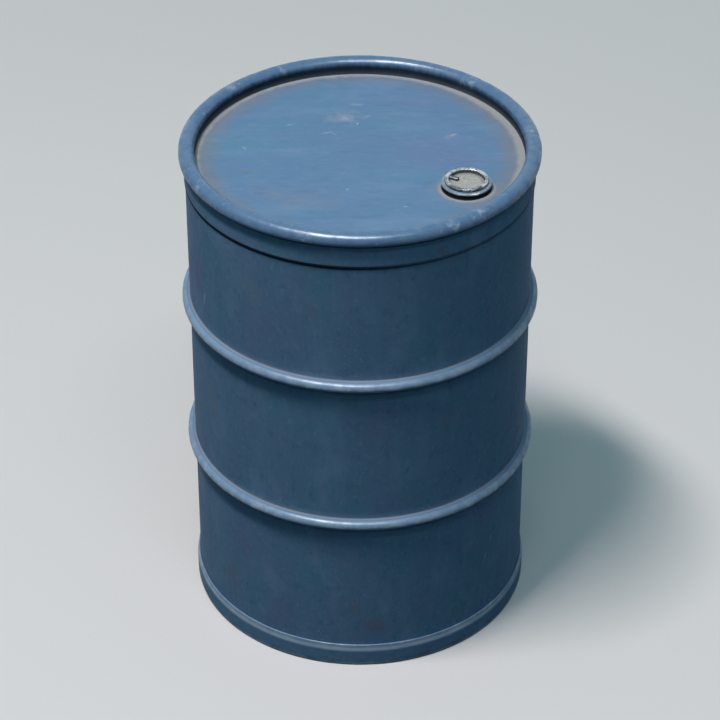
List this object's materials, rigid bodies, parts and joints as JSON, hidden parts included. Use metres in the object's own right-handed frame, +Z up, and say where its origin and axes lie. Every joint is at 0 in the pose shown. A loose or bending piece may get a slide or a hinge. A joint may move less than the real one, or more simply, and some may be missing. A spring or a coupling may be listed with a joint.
{
  "type": "steel drum",
  "caption": "Upright tight-head steel drum with rolled hoops, a thick round rim, a sunk head and a screwed bung.",
  "frame": {"origin": "middle of the foot, at floor level", "axes": "+Z up along the drum's axis; the bung lies 30.7 degrees from +X towards -Y"},
  "size_m": [0.5996, 0.5996, 0.876],
  "materials": {
    "drum_paint": "semi-gloss blue enamel, scuffed and dusty",
    "flange_paint": "blue-grey enamel worn to steel on its edges",
    "worn_steel": "worn bare steel with dried dirt",
    "seam_compound": "cured sealing compound",
    "gasket_rubber": "matt black rubber"
  },
  "bodies": {
    "drum": {"body_shell": "drum_paint", "top_head": "drum_paint", "bottom_head": "drum_paint", "top_seam_compound": "seam_compound", "bottom_seam_compound": "seam_compound", "bung_flange": "flange_paint", "bung_flange_gasket": "gasket_rubber"},
    "plug_gasket": {"bung_plug_gasket": "gasket_rubber"},
    "plug": {"bung_plug": "worn_steel"}
  },
  "joints": [
    {"name": "bung_lift", "type": "slide", "parent": "drum", "child": "plug_gasket", "axis": [0, 0, 1], "range_m": [0, 0.0116]},
    {"name": "bung_turn", "type": "hinge", "parent": "plug_gasket", "child": "plug", "pos_m": [0.17094, -0.1015, 0.8476], "axis": [0, 0, 1], "range_deg": [0, 1800]}
  ],
  "couplings": [
    {"joint": "bung_lift", "follows": "bung_turn", "m_per_rad": 0.0003675}
  ]
}
